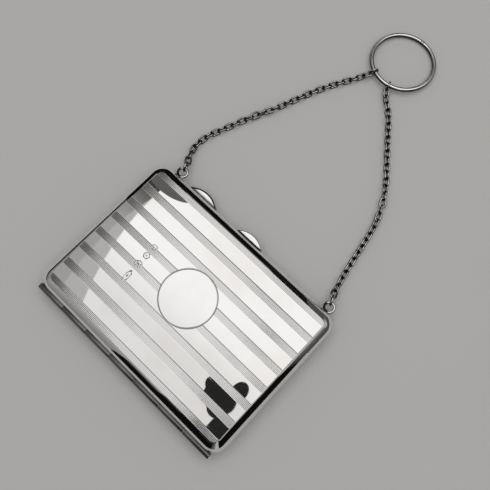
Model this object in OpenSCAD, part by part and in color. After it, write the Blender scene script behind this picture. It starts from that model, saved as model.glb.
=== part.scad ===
// Silver card case: two hinged covers, a chain on two loops and a finger ring.
// It lies on its back cover. X runs along the hinge, +Y towards the opening side, +Z up.

/* [Case] */
// Length of the case along the hinge
case_l = 88; // [80:0.5:100]
// Width of the case from the hinge side to the opening side
case_w = 62; // [56:0.5:70]
// Height of the closed case at the crown of the front cover
case_h = 10.5; // [10:0.1:12]
// Height of the line where the covers meet
parting_z = 4.4; // [4.2:0.05:4.8]
// Gap between the closed covers
cover_gap = 0.12; // [0.08:0.01:0.16]
// Thickness of the silver sheet
sheet_t = 0.8; // [0.7:0.05:0.9]
// Radius of the corners seen from above
corner_r = 5.5; // [5:0.1:8]
// Width of the rolled border round each cover
border_w = 3.4; // [3:0.1:4]
// Drop of the bowed front panel from its crown to its long edges
bow = 1.75; // [1:0.05:1.9]
// Height of the upright wall next to the line where the covers meet
wall_h = 0.6; // [0.4:0.05:0.8]

/* [Hinge] */
// Outer diameter of the hinge barrel
barrel_d = 2.2; // [2:0.05:2.3]
// Length of the hinge barrel
barrel_l = 84; // [70:1:88]
// Number of knuckles, the outer ones on the back cover
knuckle_n = 7; // [5:2:11]
// Gap between neighbouring knuckles
knuckle_gap = 0.15; // [0.1:0.01:0.25]
// Distance of the hinge axis outside the wall of the case
hinge_out = 0.6; // [0.55:0.01:0.75]
// Diameter of the hinge pin
pin_d = 1; // [0.8:0.05:1.1]
// Radial clearance of the pin in the knuckles
pin_clear = 0.04; // [0.02:0.01:0.09]
// Clearance of a barrel in the other cover's groove
barrel_clear = 0.12; // [0.1:0.01:0.15]

/* [Closing rim] */
// Thickness of the rim inside the back cover
rim_t = 0.5; // [0.4:0.05:0.6]
// Clearance of the rim inside the walls
rim_clear = 0.12; // [0.1:0.01:0.2]
// Height of the rim above the line where the covers meet
rim_up = 1; // [0.6:0.1:1.1]

/* [Thumb lugs] */
// Width of the lug on the back cover
back_lug_w = 14.2; // [10:0.1:16]
// Reach of the lug on the back cover
back_lug_out = 3; // [2:0.1:4]
// Place of the lug on the back cover along the hinge, from the middle
back_lug_x = -23.1; // [-25:0.1:-18]
// Width of the lug on the front cover
front_lug_w = 12.3; // [10:0.1:14]
// Reach of the lug on the front cover
front_lug_out = 2.6; // [2:0.1:3.5]
// Place of the lug on the front cover along the hinge, from the middle
front_lug_x = 0.7; // [-4:0.1:10]
// Thickness of the lugs
lug_t = 0.75; // [0.6:0.05:0.9]
// Height of the lugs' near faces from the line where the covers meet
lug_lift = 0.2; // [0.15:0.05:0.4]

/* [Suspension loops] */
// Outer diameter of the loops
loop_d = 4.6; // [4.2:0.1:5]
// Wire diameter of the loops
loop_wire = 0.8; // [0.7:0.05:0.9]
// Distance of the left loop from the end of the case
left_loop_inset = 8; // [6:0.1:9]
// Distance of the right loop from the end of the case
right_loop_inset = 6.1; // [6:0.1:9]
// Depth of the loops below the line where the covers meet
loop_drop = 0.6; // [0.55:0.05:0.7]

/* [Chain] */
// Wire diameter of the chain links
link_wire = 0.7; // [0.65:0.01:0.72]
// Outer length of a link
link_l = 4.4; // [4.35:0.01:4.5]
// Outer width of a link
link_w = 2.8; // [2.7:0.05:3]
// Slack left between two links
link_slack = 0.06; // [0.04:0.01:0.1]
// Outer diameter of the round jump rings at the ends of the chain
jump_d = 4.3; // [4.25:0.05:4.5]
// Wire diameter of the jump rings
jump_wire = 0.7; // [0.65:0.01:0.72]
// Slack left between a jump ring and its loop or the finger ring
jump_slack = 0.12; // [0.1:0.01:0.15]

/* [Finger ring] */
// Outer diameter of the finger ring
ring_d = 27.2; // [26:0.1:29]
// Wire diameter of the finger ring
ring_wire = 1.7; // [1.5:0.05:1.75]
// Place of the ring's centre along the hinge, from the middle
ring_x = -6.4; // [-10:0.1:10]
// Distance of the ring's centre from the opening side
ring_out = 97.9; // [94:0.1:105]
// Angle between the two chain ends round the ring
ring_spread = 37; // [34:1:44]
// Turn of the two chain ends round the ring
ring_turn = -6; // [-10:1:0]

/* [Linings] */
// Thickness of the lining boards
lining_t = 0.75; // [0.6:0.05:0.8]
// Gap between the lining boards and the rolled borders
lining_gap = 1.2; // [1:0.1:2]
// Thickness of the pocket's leather
leather_t = 0.5; // [0.4:0.05:0.6]
// Depth of the slot behind the pocket
pocket_slot = 0.45; // [0.3:0.05:0.5]
// Length of the pocket from its closed edge to its mouth
pocket_h = 38; // [30:1:44]
// Width of the pocket's stitched edges
pocket_seam = 3; // [2:0.1:4]
// Width of the thumb cut in the pocket's mouth
thumb_cut_w = 18; // [14:1:24]

/* [Hidden] */

// Colours
silver = [0.80, 0.80, 0.79];
dark_silver = [0.36, 0.35, 0.34];
silk = [0.36, 0.16, 0.24];
leather = [0.30, 0.12, 0.13];

// Steps of the covers' outlines and of their rolled borders
corner_steps = 7;
end_steps = 16;
roll_steps = 6;
// Angle at which the rolled border leaves the panel
crease_angle = 25;
// Extra depth that the back panel is cut flat from
flat_cut = 0.05;
// Play of pieces that are seated on each other
seat = 0.02;

// Places worked out from the sizes above
edge_y = case_w / 2;
hinge_y = -edge_y - hinge_out;
hinge_z = parting_z;
loop_r = (loop_d - loop_wire) / 2;
loop_y = edge_y + seat + loop_d / 2;
loop_z = parting_z - loop_drop;
left_loop = [left_loop_inset - case_l / 2, loop_y, loop_z];
right_loop = [case_l / 2 - right_loop_inset, loop_y, loop_z];

// Outline of a cover at an inset from the case's edge, half of it and all of it
function half_outline(inset) =
    let (a = case_l / 2 - inset, b = case_w / 2 - inset, r = corner_r - inset)
    concat(
        [for (i = [0:corner_steps]) let (t = -90 + 90 * i / corner_steps)
            [a - r + r * cos(t), r - b + r * sin(t)]],
        [for (i = [1:end_steps - 1]) [a, r - b + 2 * (b - r) * i / end_steps]],
        [for (i = [0:corner_steps]) let (t = 90 * i / corner_steps)
            [a - r + r * cos(t), b - r + r * sin(t)]]);
function outline(inset) =
    let (h = half_outline(inset), n = len(h))
    concat(h, [for (i = [n - 1:-1:0]) [-h[i][0], h[i][1]]]);

// Inset and height fraction of the rolled border, from the wall up to the panel
roll = [for (k = [0:roll_steps]) let (t = 90 - (90 - crease_angle) * k / roll_steps)
    [1 - (sin(t) - sin(crease_angle)) / (1 - sin(crease_angle)), cos(t) / cos(crease_angle)]];

// Points of one surface of a cover: its foot, then the rolled border
function surface_points(inset, width, height, drop) =
    let (panel = outline(inset + width), half_w = case_w / 2 - border_w)
    concat(
        [for (p = outline(inset)) [p[0], p[1], 0]],
        [for (step = roll) let (ring = outline(inset + width * step[0]))
            for (i = [0:len(ring) - 1])
                let (top = height - drop * pow(panel[i][1] / half_w, 2))
                [ring[i][0], ring[i][1], wall_h + (top - wall_h) * step[1]]]);

// A cover with its foot at z = 0 and the crown of its panel at the given height
module cover_shell(height, drop) {
    outer = surface_points(0, border_w, height, drop);
    inner = surface_points(sheet_t, border_w - sheet_t / 3, height - sheet_t, drop);
    n = len(outline(0));
    layers = len(outer) / n;
    last = (layers - 1) * n;
    shift = len(outer);
    walls = [for (l = [0:layers - 2]) for (i = [0:n - 1])
        let (j = (i + 1) % n) [l * n + i, (l + 1) * n + i, (l + 1) * n + j, l * n + j]];
    panel = [for (i = [0:n / 2 - 2]) [last + i, last + n - 1 - i, last + n - 2 - i, last + i + 1]];
    polyhedron(points = concat(outer, inner), faces = concat(
        [for (f = walls) [f[0], f[1], f[2]]],
        [for (f = walls) [f[0], f[2], f[3]]],
        panel,
        [for (f = walls) [shift + f[2], shift + f[1], shift + f[0]]],
        [for (f = walls) [shift + f[3], shift + f[2], shift + f[0]]],
        [for (f = panel) [shift + f[3], shift + f[2], shift + f[1], shift + f[0]]],
        [for (i = [0:n - 1]) let (j = (i + 1) % n) [i, j, shift + j]],
        [for (i = [0:n - 1]) let (j = (i + 1) % n) [i, shift + j, shift + i]]));
}

// Pitch and start of the knuckles along the barrel
knuckle_pitch = barrel_l / knuckle_n;
function knuckle_x(k) = -barrel_l / 2 + k * knuckle_pitch;

// Grooves for the knuckles: close round a cover's own ones, wider round the other's
module barrel_grooves(own_parity) {
    for (k = [0:knuckle_n - 1])
        translate([knuckle_x(k) - knuckle_gap / 2, hinge_y, hinge_z])
            rotate([0, 90, 0])
                cylinder(h = knuckle_pitch + knuckle_gap, $fn = 48,
                    r = barrel_d / 2 + (k % 2 == own_parity ? seat : barrel_clear));
}

module back_cover() {
    color(silver) difference() {
        translate([0, 0, parting_z - cover_gap / 2])
            mirror([0, 0, 1])
                cover_shell(parting_z - cover_gap / 2 + flat_cut, 0);
        translate([-case_l, -case_w, -2 * flat_cut])
            cube([2 * case_l, 2 * case_w, 2 * flat_cut]);
        barrel_grooves(0);
    }
}

module front_cover() {
    color(silver) difference() {
        translate([0, 0, parting_z + cover_gap / 2])
            cover_shell(case_h - parting_z - cover_gap / 2, bow);
        barrel_grooves(1);
    }
}

module knuckles(parity) {
    for (k = [parity:2:knuckle_n - 1])
        translate([knuckle_x(k) + knuckle_gap / 2, hinge_y, hinge_z])
            rotate([0, 90, 0])
                difference() {
                    cylinder(h = knuckle_pitch - knuckle_gap, d = barrel_d, $fn = 48);
                    translate([0, 0, -1])
                        cylinder(h = knuckle_pitch + 2, r = pin_d / 2 + pin_clear, $fn = 48);
                }
}

module back_knuckles() {
    color(silver) knuckles(0);
}

module front_knuckles() {
    color(silver) knuckles(1);
}

module hinge_pin() {
    color(silver)
        translate([-barrel_l / 2 + knuckle_gap / 2, hinge_y, hinge_z])
            rotate([0, 90, 0])
                cylinder(h = barrel_l - knuckle_gap, d = pin_d, $fn = 48);
}

// Flat rounded rectangle, centred
module rounded_rect(l, w, r) {
    square([l - 2 * r, w], center = true);
    square([l, w - 2 * r], center = true);
    for (x = [-1, 1]) for (y = [-1, 1])
        translate([x * (l / 2 - r), y * (w / 2 - r)]) circle(r = r, $fn = 64);
}

// One height of the rim: open at the hinge side, between two insets from the edge
module rim_band(outer, inner, z, h) {
    translate([0, 0, z])
        linear_extrude(h)
            difference() {
                rounded_rect(case_l - 2 * outer, case_w - 2 * outer, corner_r - outer);
                rounded_rect(case_l - 2 * inner, case_w - 2 * inner, corner_r - inner);
                translate([-case_l, -edge_y]) square([2 * case_l, corner_r]);
            }
}

// The rim's foot is seated on the back cover's wall, its upper part clears the front cover
module closing_rim() {
    foot_z = parting_z - cover_gap / 2 - wall_h;
    inner = sheet_t + rim_clear + rim_t;
    color(silver) {
        rim_band(sheet_t + seat, inner, foot_z, wall_h);
        rim_band(sheet_t + rim_clear, inner, foot_z + wall_h, cover_gap / 2 + rim_up);
    }
}

// Half-moon tab with a round edge, standing out from the opening side
module thumb_lug(width, reach) {
    r = (width * width / 4 + reach * reach) / (2 * reach);
    translate([0, edge_y + seat, 0])
        intersection() {
            translate([0, reach - r, 0]) {
                cylinder(h = lug_t, r = r - lug_t / 2, $fn = 96);
                translate([0, 0, lug_t / 2])
                    rotate_extrude($fn = 96)
                        translate([r - lug_t / 2, 0]) circle(d = lug_t, $fn = 24);
            }
            translate([-width, 0, -1]) cube([2 * width, reach + 1, lug_t + 2]);
        }
}

module back_thumb_lug() {
    color(silver)
        translate([back_lug_x, 0, parting_z - lug_lift - lug_t])
            thumb_lug(back_lug_w, back_lug_out);
}

module front_thumb_lug() {
    color(silver)
        translate([front_lug_x, 0, parting_z + lug_lift])
            thumb_lug(front_lug_w, front_lug_out);
}

// Wire ring lying flat, round the origin
module wire_ring(outer_d, wire) {
    rotate_extrude($fn = 72)
        translate([(outer_d - wire) / 2, 0]) circle(d = wire, $fn = 32);
}

// Loop with the solder foot that joins it to the wall
module suspension_loop(place) {
    color(silver)
        translate(place) {
            wire_ring(loop_d, loop_wire);
            translate([0, -loop_d / 2, 0])
                rotate([-90, 0, 0]) cylinder(h = loop_wire / 2, d = 1.5 * loop_wire, $fn = 32);
        }
}

module left_suspension_loop() {
    suspension_loop(left_loop);
}

module right_suspension_loop() {
    suspension_loop(right_loop);
}

// Chain link along X with straight sides and round ends
module link(l, w, wire) {
    bend_r = (w - wire) / 2;
    straight = l - w;
    for (s = [-1, 1]) {
        translate([s * straight / 2, 0, 0])
            rotate([0, 0, -90 * s])
                rotate_extrude(angle = 180, $fn = 32)
                    translate([bend_r, 0]) circle(d = wire, $fn = 24);
        translate([-straight / 2, s * bend_r, 0])
            rotate([0, 90, 0]) cylinder(h = straight, d = wire, $fn = 24);
    }
}

// Placing of a link or ring: its centre, its own line, and its turn about that line
module placed(centre, line, turn) {
    translate(centre)
        rotate([0, -atan2(line[2], norm([line[0], line[1]])), atan2(line[1], line[0])])
            rotate([turn, 0, 0])
                children();
}

// Heights of the chain's line: lying on the table, and through the upright jump rings at
// the finger ring
chain_rest_z = (link_w - link_wire) / 2 * sin(45) + link_wire / 2 + 2 * seat;
jump_r = (jump_d - jump_wire) / 2;
ring_link_z = jump_r + jump_wire / 2 + 4 * seat;
ring_r = (ring_d - ring_wire) / 2;
ring_lean = asin((ring_link_z - ring_wire / 2) / (2 * ring_r));
ring_centre = [ring_x, edge_y + ring_out, (ring_link_z + ring_wire / 2) / 2];

// Point of the finger ring's wire where a chain leg holds it
function ring_point(side) =
    let (t = -90 + ring_turn + side * ring_spread / 2)
    ring_centre + [ring_r * cos(t), ring_r * sin(t) * cos(ring_lean),
        -ring_r * sin(t) * sin(ring_lean)];

// Angle off the opening side's normal at which both legs leave their loops
loop_lead = 20;
function loop_point(loop) = loop + loop_r * [-sin(loop_lead), cos(loop_lead), 0];

// Each leg's route: fraction of the way, and sideways offset to the leg's left
left_route = [[0.021, 1.4], [0.042, 3.6], [0.07, 5.7], [0.109, 7.5], [0.15, 8.3], [0.193, 8.4],
    [0.266, 7.9], [0.34, 7.5], [0.421, 6.7], [0.504, 5.8], [0.578, 5.4], [0.662, 5],
    [0.749, 4.2], [0.835, 2.9], [0.919, 1.2]];
right_route = [[0.029, -0.2], [0.068, -0.8], [0.128, -2.2], [0.189, -3.8], [0.247, -5.4],
    [0.308, -7.1], [0.369, -8.5], [0.433, -9.2], [0.497, -9.2], [0.564, -8.6], [0.633, -7.4],
    [0.695, -6.2], [0.756, -5.1], [0.816, -4], [0.87, -2.9], [0.919, -1], [0.949, 0.049], [0.981, 0.31]];

// Lengths over which the chain comes down from its loop, and climbs to the ring
drop_l = 13;
climb_l = 14;

// Height of a leg's line at a distance from its start and from its end
function leg_z(from_start, to_end) =
    chain_rest_z
    + (loop_z - chain_rest_z) * pow(max(0, 1 - from_start / drop_l), 2)
    + (ring_link_z - chain_rest_z) * pow(max(0, 1 - to_end / climb_l), 2);

// The route's corner points in space, with both ends
function leg_points(start, end, route) =
    let (a = [start[0], start[1]], b = [end[0], end[1]],
        d = norm(b - a), u = (b - a) / d, v = [-u[1], u[0]])
    [for (p = concat([[0, 0]], route, [[1, 0]]))
        let (q = a + u * d * p[0] + v * p[1]) [q[0], q[1], leg_z(p[0] * d, (1 - p[0]) * d)]];

// A smooth curve through the points, as a fine polyline
curve_steps = 8;
function between(p, q, r, s, t) =
    0.5 * (2 * q + (r - p) * t + (2 * p - 5 * q + 4 * r - s) * t * t
        + (3 * q - p - 3 * r + s) * t * t * t);
function smooth(pts) =
    let (n = len(pts))
    concat([for (i = [0:n - 2]) for (j = [0:curve_steps - 1])
        between(pts[max(0, i - 1)], pts[i], pts[i + 1], pts[min(n - 1, i + 2)],
            j / curve_steps)], [pts[n - 1]]);

// Length along a polyline up to each of its points
function lengths(pts) =
    [for (i = 0, s = 0; i < len(pts);
        s = s + (i < len(pts) - 1 ? norm(pts[i + 1] - pts[i]) : 0), i = i + 1) s];

// Point of a polyline at a length along it
function at_length(pts, lens, s) =
    [for (c = [0:2]) lookup(s, [for (i = [0:len(pts) - 1]) [lens[i], pts[i][c]]])];

// Reach of links and jump rings from their centres to the points where two meet
meet = (link_wire + link_slack) / 2;
link_pitch = link_l - link_wire - 2 * meet;
jump_back = jump_r - (link_wire + jump_wire) / 2 - link_slack + meet;
jump_to_loop = jump_r - (loop_wire + jump_wire) / 2 - jump_slack;
jump_to_ring = jump_r - (ring_wire + jump_wire) / 2 - jump_slack;

// Points where the links of a leg meet, between its two jump rings
function flat_meets(start, end, route) =
    let (pts = smooth(leg_points(start, end, route)), lens = lengths(pts),
        first = jump_to_loop + jump_back,
        last = lens[len(lens) - 1] - jump_back - jump_to_ring,
        n = ceil((last - first) / link_pitch))
    [for (k = [0:n]) at_length(pts, lens, first + (last - first) * k / n)];

// The chain folds where both legs have a joint at about this distance from the case
fold_out = 44;
function fold_index(m) =
    let (d = [for (p = m) abs(p[1] - edge_y - fold_out)], least = min(d))
    [for (k = [0:len(d) - 1]) if (d[k] == least) k][0];

// There one link stands upright and the next lies flat, so the line is a little higher
fold_rise = (link_w - link_wire) / 2 * (1 - sin(45));
function meets(start, end, route) =
    let (m = flat_meets(start, end, route), fold = fold_index(m))
    [for (k = [0:len(m) - 1])
        m[k] + [0, 0, fold_rise * max(0, min(1, (3.5 - abs(k - fold)) / 2))]];

left_start = loop_point(left_loop);
right_start = loop_point(right_loop);
left_meets = meets(left_start, ring_point(-1), left_route);
right_meets = meets(right_start, ring_point(1), right_route);

// Turn of a link about its own line: neighbours cross at right angles, and the links near
// the fold and both ends turn step by step so that they hang one upright, one flat
turn_steps = 3;
function turn_of(k, n, fold) =
    (k % 2 == 0 ? 45 : -45)
    - 45 * max(0, 1 - (k + 1) / turn_steps)
    - 45 * max(0, min(1, (2.5 - abs(k + 0.5 - fold)) / 2))
    + (n % 2 == 0 ? 45 : -45) * max(0, 1 - (n - k) / turn_steps);

// Links between the meeting points first and last of a leg
module leg_links(m, first, last) {
    color(dark_silver)
        for (k = [first:last - 1])
            placed((m[k] + m[k + 1]) / 2, m[k + 1] - m[k],
                turn_of(k, len(m) - 1, fold_index(m)))
                link(link_l, link_w, link_wire);
}

// Round jump ring that hangs a leg's first link on its loop
module end_link(start, m) {
    line = (m[0] - start) / norm(m[0] - start);
    color(dark_silver)
        placed(m[0] - line * jump_back, line, 90)
            wire_ring(jump_d, jump_wire);
}

// Round jump ring that holds the finger ring
module ring_link(end, m) {
    last = m[len(m) - 1];
    flat = [end[0] - last[0], end[1] - last[1], 0];
    line = flat / norm(flat);
    color(dark_silver)
        placed(end - line * jump_to_ring, line, 90)
            wire_ring(jump_d, jump_wire);
}

module left_end_link() {
    end_link(left_start, left_meets);
}

module right_end_link() {
    end_link(right_start, right_meets);
}

module left_chain_lower() {
    leg_links(left_meets, 0, fold_index(left_meets));
}

module right_chain_lower() {
    leg_links(right_meets, 0, fold_index(right_meets));
}

module left_chain_upper() {
    leg_links(left_meets, fold_index(left_meets), len(left_meets) - 1);
}

module right_chain_upper() {
    leg_links(right_meets, fold_index(right_meets), len(right_meets) - 1);
}

module left_ring_link() {
    ring_link(ring_point(-1), left_meets);
}

module right_ring_link() {
    ring_link(ring_point(1), right_meets);
}

module finger_ring() {
    color(silver)
        translate(ring_centre)
            rotate([-ring_lean, 0, 0])
                wire_ring(ring_d, ring_wire);
}

// Size of the lining boards inside the rolled borders
board_l = case_l - 2 * (border_w + lining_gap);
board_w = case_w - 2 * (border_w + lining_gap);
board_r = 1.5;
back_board_z = sheet_t + seat;
front_board_z = case_h - sheet_t - bow * pow((board_w / 2) / (edge_y - border_w), 2)
    - seat - lining_t;
pocket_z = front_board_z - pocket_slot - leather_t;

module back_lining() {
    color(silk)
        translate([0, 0, back_board_z])
            linear_extrude(lining_t) rounded_rect(board_l, board_w, board_r);
}

module front_lining() {
    color(silk)
        translate([0, 0, front_board_z])
            linear_extrude(lining_t) rounded_rect(board_l, board_w, board_r);
}

// Leather pocket under the front lining, closed at its ends and its hinge side
module card_pocket() {
    pocket_l = board_l - 2 * seat;
    color(leather)
        translate([0, -board_w / 2 + pocket_h / 2, pocket_z])
            difference() {
                linear_extrude(leather_t + pocket_slot - seat)
                    square([pocket_l, pocket_h], center = true);
                translate([-pocket_l / 2 + pocket_seam, -pocket_h / 2 + pocket_seam, leather_t])
                    cube([pocket_l - 2 * pocket_seam, pocket_h, pocket_slot + 1]);
                translate([0, pocket_h / 2 + thumb_cut_w / 4, -1])
                    cylinder(h = leather_t + pocket_slot + 2, d = thumb_cut_w, $fn = 64);
            }
}

back_cover();
front_cover();
back_knuckles();
front_knuckles();
hinge_pin();
closing_rim();
back_thumb_lug();
front_thumb_lug();
left_suspension_loop();
right_suspension_loop();
left_end_link();
right_end_link();
left_chain_lower();
right_chain_lower();
left_chain_upper();
right_chain_upper();
left_ring_link();
right_ring_link();
finger_ring();
back_lining();
front_lining();
card_pocket();
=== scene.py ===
"""Looks of a silver card case: engraved covers, hinge, chain, finger ring and linings."""

import math

import bmesh
import bpy
import numpy as np
from mathutils import Matrix, Vector


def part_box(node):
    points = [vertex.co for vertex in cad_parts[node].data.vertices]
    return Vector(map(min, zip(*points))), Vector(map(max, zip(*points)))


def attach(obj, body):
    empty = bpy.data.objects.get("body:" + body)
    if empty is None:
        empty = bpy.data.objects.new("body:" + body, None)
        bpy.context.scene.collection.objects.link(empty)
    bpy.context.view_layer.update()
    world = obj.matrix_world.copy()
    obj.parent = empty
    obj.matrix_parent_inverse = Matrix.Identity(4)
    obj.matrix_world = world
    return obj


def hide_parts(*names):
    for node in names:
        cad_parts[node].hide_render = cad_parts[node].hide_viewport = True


bl_info = {
    "name": "Silver card case",
    "version": (1, 0, 0),
    "blender": (4, 5, 0),
    "location": "View3D > Sidebar > Card case",
    "description": "Builds a hinged silver card case with its chain and finger ring",
    "category": "Object",
}

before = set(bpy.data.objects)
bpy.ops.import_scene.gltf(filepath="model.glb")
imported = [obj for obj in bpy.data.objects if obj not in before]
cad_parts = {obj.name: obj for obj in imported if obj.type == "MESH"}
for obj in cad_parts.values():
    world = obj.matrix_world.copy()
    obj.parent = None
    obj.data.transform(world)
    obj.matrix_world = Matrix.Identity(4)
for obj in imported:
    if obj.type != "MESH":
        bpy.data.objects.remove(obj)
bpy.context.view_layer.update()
MM = 0.001

# Places read from the frame
BACK_LOW, BACK_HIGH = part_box("back_cover")
FRONT_LOW, FRONT_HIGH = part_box("front_cover")
BARREL_LOW, BARREL_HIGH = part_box("back_knuckles")
PIN_LOW, PIN_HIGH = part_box("hinge_pin")
CASE_LENGTH = FRONT_HIGH.x - FRONT_LOW.x
CASE_WIDTH = FRONT_HIGH.y - FRONT_LOW.y
HINGE_RADIUS = (BARREL_HIGH.z - BARREL_LOW.z) / 2
HINGE_Y = BARREL_LOW.y + HINGE_RADIUS
HINGE_Z = BARREL_LOW.z + HINGE_RADIUS

# Centre of the plain disc, in mm
DISC_CENTRE = (0.3, 0.58)


# Sizes and colours a user may change

class CaseSizes(bpy.types.PropertyGroup):
    """Sizes of the covers and of their engine turning"""

    corner_radius: bpy.props.FloatProperty(
        name="Corner radius", description="Radius of the case's corners seen from above",
        default=5.5 * MM, unit="LENGTH")
    border_width: bpy.props.FloatProperty(
        name="Border width", description="Width of the rolled border round each cover",
        default=3.4 * MM, unit="LENGTH")
    wall_height: bpy.props.FloatProperty(
        name="Wall height", description="Upright wall between the parting line and the roll",
        default=0.6 * MM, unit="LENGTH")
    crease_angle: bpy.props.FloatProperty(
        name="Crease angle", description="Angle at which the roll leaves the flat panel",
        default=math.radians(25), subtype="ANGLE")
    bow: bpy.props.FloatProperty(
        name="Bow", description="Drop of the front panel from its crown to its long edges",
        default=1.75 * MM, unit="LENGTH")
    sheet: bpy.props.FloatProperty(
        name="Sheet", description="Thickness of the silver sheet",
        default=0.8 * MM, unit="LENGTH")
    band_pitch: bpy.props.FloatProperty(
        name="Band pitch", description="Distance between two engine-turned bands",
        default=7.643 * MM, unit="LENGTH")
    band_width: bpy.props.FloatProperty(
        name="Band width", description="Width of an engine-turned band",
        default=2.68 * MM, unit="LENGTH")
    cartouche_radius: bpy.props.FloatProperty(
        name="Cartouche radius", description="Radius of the plain disc in the bands",
        default=10.4 * MM, unit="LENGTH")


class CaseColours(bpy.types.PropertyGroup):
    """Colours of the metal, the linings and the floor"""

    silver: bpy.props.FloatVectorProperty(
        name="Silver", description="Polished silver", subtype="COLOR", size=3,
        default=(0.93, 0.92, 0.905))
    tarnish: bpy.props.FloatVectorProperty(
        name="Tarnish", description="Warm film on handled silver", subtype="COLOR", size=3,
        default=(0.74, 0.66, 0.60))
    blackened: bpy.props.FloatVectorProperty(
        name="Blackened", description="Oxide left in the chain and in the engraved lines",
        subtype="COLOR", size=3, default=(0.035, 0.030, 0.028))
    gilding: bpy.props.FloatVectorProperty(
        name="Gilding", description="Thin gilt wash inside the covers", subtype="COLOR", size=3,
        default=(0.86, 0.68, 0.38))
    silk: bpy.props.FloatVectorProperty(
        name="Silk", description="Watered silk of the linings", subtype="COLOR", size=3,
        default=(0.135, 0.030, 0.055))
    leather: bpy.props.FloatVectorProperty(
        name="Leather", description="Leather of the card pocket", subtype="COLOR", size=3,
        default=(0.16, 0.045, 0.045))
    floor: bpy.props.FloatVectorProperty(
        name="Floor", description="Pale floor under the case", subtype="COLOR", size=3,
        default=(0.405, 0.398, 0.388))


# Node helpers

def socket_value(tree, socket, value):
    """Links a socket, or sets its own value."""
    if isinstance(value, bpy.types.NodeSocket):
        tree.links.new(value, socket)
    else:
        socket.default_value = value


def maths(tree, operation, *values):
    """Result of one arithmetic node."""
    node = tree.nodes.new("ShaderNodeMath")
    node.operation = operation
    for socket, value in zip(node.inputs, values):
        socket_value(tree, socket, value)
    return node.outputs[0]


def ramp(tree, value, low, high, to_low=0.0, to_high=1.0):
    """Smooth step of a value from one level to another."""
    node = tree.nodes.new("ShaderNodeMapRange")
    node.interpolation_type = "SMOOTHSTEP"
    for name, entry in (("Value", value), ("From Min", low), ("From Max", high),
                        ("To Min", to_low), ("To Max", to_high)):
        socket_value(tree, node.inputs[name], entry)
    return node.outputs["Result"]


def flat_length(tree, x, y):
    """Length of a flat vector."""
    return maths(tree, "SQRT", maths(tree, "ADD", maths(tree, "MULTIPLY", x, x),
                                     maths(tree, "MULTIPLY", y, y)))


def mixed(tree, factor, first, second):
    """Mixes two colours."""
    node = tree.nodes.new("ShaderNodeMix")
    node.data_type = "RGBA"
    socket_value(tree, node.inputs["Factor"], factor)
    for name, value in (("A", first), ("B", second)):
        socket = next(s for s in node.inputs if s.name == name and s.type == "RGBA")
        socket_value(tree, socket, value if isinstance(value, bpy.types.NodeSocket)
                     else (*value, 1.0))
    return next(s for s in node.outputs if s.type == "RGBA")


def noise(tree, vector, scale, detail=3.0, roughness=0.5):
    """Smooth random values round 0.5."""
    node = tree.nodes.new("ShaderNodeTexNoise")
    socket_value(tree, node.inputs["Vector"], vector)
    node.inputs["Scale"].default_value = scale
    node.inputs["Detail"].default_value = detail
    node.inputs["Roughness"].default_value = roughness
    return node.outputs["Fac"]


def stretched(tree, vector, scale, turn=0.0):
    """A coordinate stretched and turned by a Mapping node."""
    node = tree.nodes.new("ShaderNodeMapping")
    socket_value(tree, node.inputs["Vector"], vector)
    node.inputs["Scale"].default_value = scale
    node.inputs["Rotation"].default_value = (0, 0, turn)
    return node.outputs["Vector"]


def millimetres(tree, vector):
    """Separate X, Y and Z of a coordinate, in millimetres."""
    node = tree.nodes.new("ShaderNodeVectorMath")
    node.operation = "SCALE"
    socket_value(tree, node.inputs[0], vector)
    node.inputs["Scale"].default_value = 1 / MM
    parts = tree.nodes.new("ShaderNodeSeparateXYZ")
    tree.links.new(node.outputs[0], parts.inputs[0])
    return parts.outputs


def new_group(name, inputs, outputs):
    """An empty node group with named sockets; returns the group and its inner ends."""
    group = bpy.data.node_groups.new(name, "ShaderNodeTree")
    for socket, kind, value in inputs:
        made = group.interface.new_socket(socket, in_out="INPUT", socket_type=kind)
        if value is not None:
            made.default_value = value
    for socket, kind in outputs:
        group.interface.new_socket(socket, in_out="OUTPUT", socket_type=kind)
    return (group, group.nodes.new("NodeGroupInput").outputs,
            group.nodes.new("NodeGroupOutput").inputs)


# Engine turning, in mm: spacing of the lines in a band and of the wave along them, and radius of
# the panel's corners
LINE_SPACING = 0.446
WAVE_SPACING = 0.52
PANEL_CORNER = 2.1


def rounded_panel(tree, x, y, half_length, half_width):
    """One inside the panel, whose corners are rounded, and zero outside."""
    over = []
    for value, size in ((x, half_length), (y, half_width)):
        past = maths(tree, "SUBTRACT", maths(tree, "ABSOLUTE", value), size)
        over.append(maths(tree, "MAXIMUM", 0.0, maths(tree, "ADD", past, PANEL_CORNER)))
    return ramp(tree, flat_length(tree, *over), PANEL_CORNER - 0.02, PANEL_CORNER - 0.14)


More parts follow.
